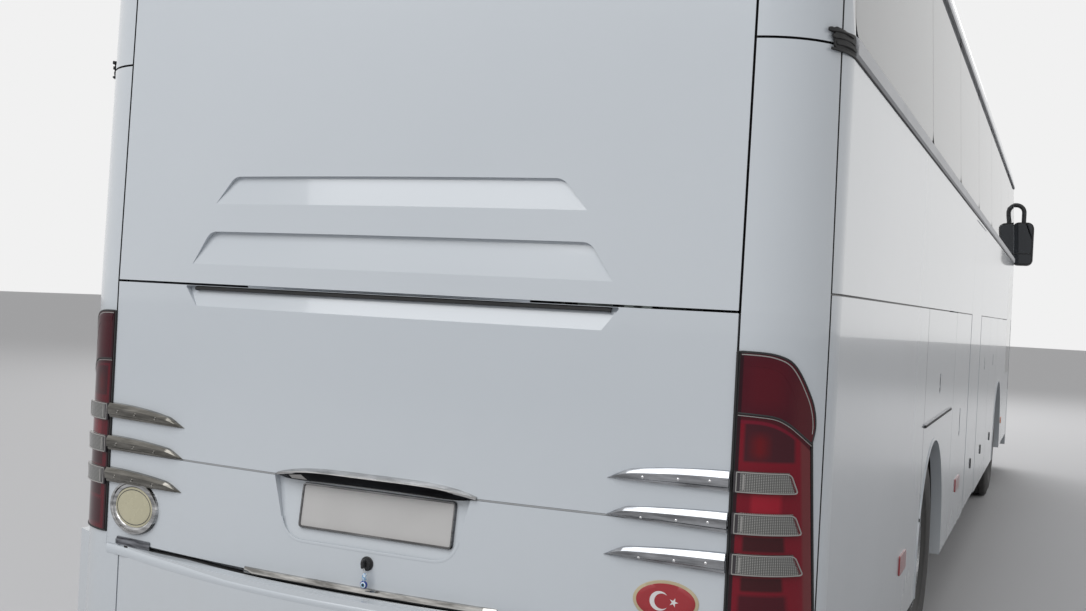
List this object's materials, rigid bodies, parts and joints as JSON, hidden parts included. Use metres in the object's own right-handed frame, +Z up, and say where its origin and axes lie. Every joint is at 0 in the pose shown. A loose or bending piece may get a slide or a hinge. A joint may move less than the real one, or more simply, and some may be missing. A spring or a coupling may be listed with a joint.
{
  "type": "coach bus",
  "caption": "Two-axle high-deck touring coach with hollow cabin, through luggage bays, opening engine lid, side flaps, plug doors and steered front wheels.",
  "frame": {"origin": "on the ground under the middle of the coach's overall box, mirrors and rear bumper included", "axes": "+Z up, -Y towards the front of the coach, +Y towards its tail, +X towards its left side; the passenger doors are on the -X side"},
  "size_m": [2.895, 12.34, 3.7499],
  "materials": {
    "body_paint": "gloss",
    "pale_moulding": "satin",
    "dark_glass": "gloss",
    "clear_glass": "gloss",
    "lamp_red": "gloss",
    "lamp_clear": "gloss",
    "bright_trim": "polished",
    "plate_grey": "satin",
    "trim_aluminium": "satin",
    "floor_covering": "matte",
    "bay_sheet": "satin",
    "frame_paint": "satin",
    "axle_paint": "satin",
    "engine_iron": "satin",
    "tyre": "matte",
    "wheel_alloy": "polished",
    "chair_fabric": "matte",
    "dark_plastic": "matte"
  },
  "bodies": {
    "coach": {"rear_panel": "body_paint", "rear_dome": "body_paint", "corner_posts": "body_paint", "rear_bumper": "body_paint", "roof": "body_paint", "wall_left": "body_paint", "wall_right": "body_paint", "lower_panels_left": "body_paint", "lower_panels_right": "body_paint", "front_mask": "body_paint", "front_bumper": "body_paint", "roof_units": "pale_moulding", "rear_window": "dark_glass", "side_glass": "dark_glass", "windscreen": "clear_glass", "tail_lamps": "lamp_red", "headlamps": "lamp_clear", "belt_trims": "trim_aluminium", "cabin_floor": "floor_covering", "stairs": "floor_covering", "luggage_bay": "bay_sheet", "underframe": "frame_paint", "wheel_housings": "frame_paint", "rear_axle": "axle_paint", "front_axle": "axle_paint", "engine": "engine_iron", "passenger_chairs": "chair_fabric", "driver_chair": "chair_fabric", "dashboard": "dark_plastic", "steering_wheel": "dark_plastic", "luggage_racks": "pale_moulding", "mirrors": "dark_plastic", "wipers": "dark_plastic"},
    "engine_lid": {"engine_lid_upper": "body_paint", "engine_lid_lower": "body_paint", "lid_fins": "bright_trim", "plate_set": "plate_grey"},
    "door_arm_front": {"door_arm_front": "frame_paint"},
    "door_arm_middle": {"door_arm_middle": "frame_paint"},
    "door_front": {"door_leaf_front": "body_paint", "door_glass_front": "clear_glass"},
    "door_middle": {"door_leaf_middle": "body_paint"},
    "knuckle_left": {"knuckle_left": "axle_paint"},
    "knuckle_right": {"knuckle_right": "axle_paint"},
    "wheel_front_left": {"tyre_front_left": "tyre", "rim_front_left": "wheel_alloy"},
    "wheel_front_right": {"tyre_front_right": "tyre", "rim_front_right": "wheel_alloy"},
    "wheel_rear_left": {"tyres_rear_left": "tyre", "rim_rear_left": "wheel_alloy"},
    "wheel_rear_right": {"tyres_rear_right": "tyre", "rim_rear_right": "wheel_alloy"},
    "flap_left_rear": {"flap_left_rear": "body_paint"},
    "flap_left_middle": {"flap_left_middle": "body_paint"},
    "flap_left_front": {"flap_left_front": "body_paint"},
    "flap_right_rear": {"flap_right_rear": "body_paint"},
    "flap_right_middle": {"flap_right_middle": "body_paint"},
    "flap_right_front": {"flap_right_front": "body_paint"}
  },
  "joints": [
    {"name": "steer_right", "type": "hinge", "parent": "coach", "child": "knuckle_right", "pos_m": [-1.035, -3.135, 0.51], "axis": [0, 0, 1], "range_deg": [-42, 42]},
    {"name": "steer_left", "type": "hinge", "parent": "coach", "child": "knuckle_left", "pos_m": [1.035, -3.135, 0.51], "axis": [0, 0, 1], "range_deg": [-42, 42]},
    {"name": "wheel_front_right_spin", "type": "hinge", "parent": "knuckle_right", "child": "wheel_front_right", "pos_m": [-1.095, -3.135, 0.51], "axis": [1, 0, 0], "continuous": true},
    {"name": "wheel_front_left_spin", "type": "hinge", "parent": "knuckle_left", "child": "wheel_front_left", "pos_m": [1.095, -3.135, 0.51], "axis": [1, 0, 0], "continuous": true},
    {"name": "wheel_rear_right_spin", "type": "hinge", "parent": "coach", "child": "wheel_rear_right", "pos_m": [-1.095, 2.955, 0.51], "axis": [1, 0, 0], "continuous": true},
    {"name": "wheel_rear_left_spin", "type": "hinge", "parent": "coach", "child": "wheel_rear_left", "pos_m": [1.095, 2.955, 0.51], "axis": [1, 0, 0], "continuous": true},
    {"name": "engine_lid_hinge", "type": "hinge", "parent": "coach", "child": "engine_lid", "pos_m": [0, 6.076, 1.645], "axis": [1, 0, 0], "range_deg": [0, 75]},
    {"name": "flap_right_rear_hinge", "type": "hinge", "parent": "coach", "child": "flap_right_rear", "pos_m": [-1.275, 1.405, 1.705], "axis": [0, -1, 0], "range_deg": [-80, 0]},
    {"name": "flap_right_middle_hinge", "type": "hinge", "parent": "coach", "child": "flap_right_middle", "pos_m": [-1.275, -0.775, 1.705], "axis": [0, -1, 0], "range_deg": [-80, 0]},
    {"name": "flap_right_front_hinge", "type": "hinge", "parent": "coach", "child": "flap_right_front", "pos_m": [-1.275, -1.925, 1.705], "axis": [0, -1, 0], "range_deg": [-80, 0]},
    {"name": "flap_left_rear_hinge", "type": "hinge", "parent": "coach", "child": "flap_left_rear", "pos_m": [1.275, 1.245, 1.705], "axis": [0, 1, 0], "range_deg": [-80, 0]},
    {"name": "flap_left_middle_hinge", "type": "hinge", "parent": "coach", "child": "flap_left_middle", "pos_m": [1.275, -0.235, 1.705], "axis": [0, 1, 0], "range_deg": [-80, 0]},
    {"name": "flap_left_front_hinge", "type": "hinge", "parent": "coach", "child": "flap_left_front", "pos_m": [1.275, -1.73, 1.705], "axis": [0, 1, 0], "range_deg": [-80, 0]},
    {"name": "door_arm_front_swing", "type": "hinge", "parent": "coach", "child": "door_arm_front", "pos_m": [-1.167, -5.195, 1.4], "axis": [0, 0, 1], "range_deg": [0, 150]},
    {"name": "door_front_parallel", "type": "hinge", "parent": "door_arm_front", "child": "door_front", "pos_m": [-1.167, -4.755, 1.4], "axis": [0, 0, 1], "range_deg": [-150, 0]},
    {"name": "door_arm_middle_swing", "type": "hinge", "parent": "coach", "child": "door_arm_middle", "pos_m": [-1.167, -0.11, 1.4], "axis": [0, 0, 1], "range_deg": [0, 150]},
    {"name": "door_middle_parallel", "type": "hinge", "parent": "door_arm_middle", "child": "door_middle", "pos_m": [-1.167, 0.33, 1.4], "axis": [0, 0, 1], "range_deg": [-150, 0]}
  ],
  "couplings": [
    {"joint": "steer_left", "follows": "steer_right", "ratio": 1},
    {"joint": "door_front_parallel", "follows": "door_arm_front_swing", "ratio": -1},
    {"joint": "door_middle_parallel", "follows": "door_arm_middle_swing", "ratio": -1}
  ]
}
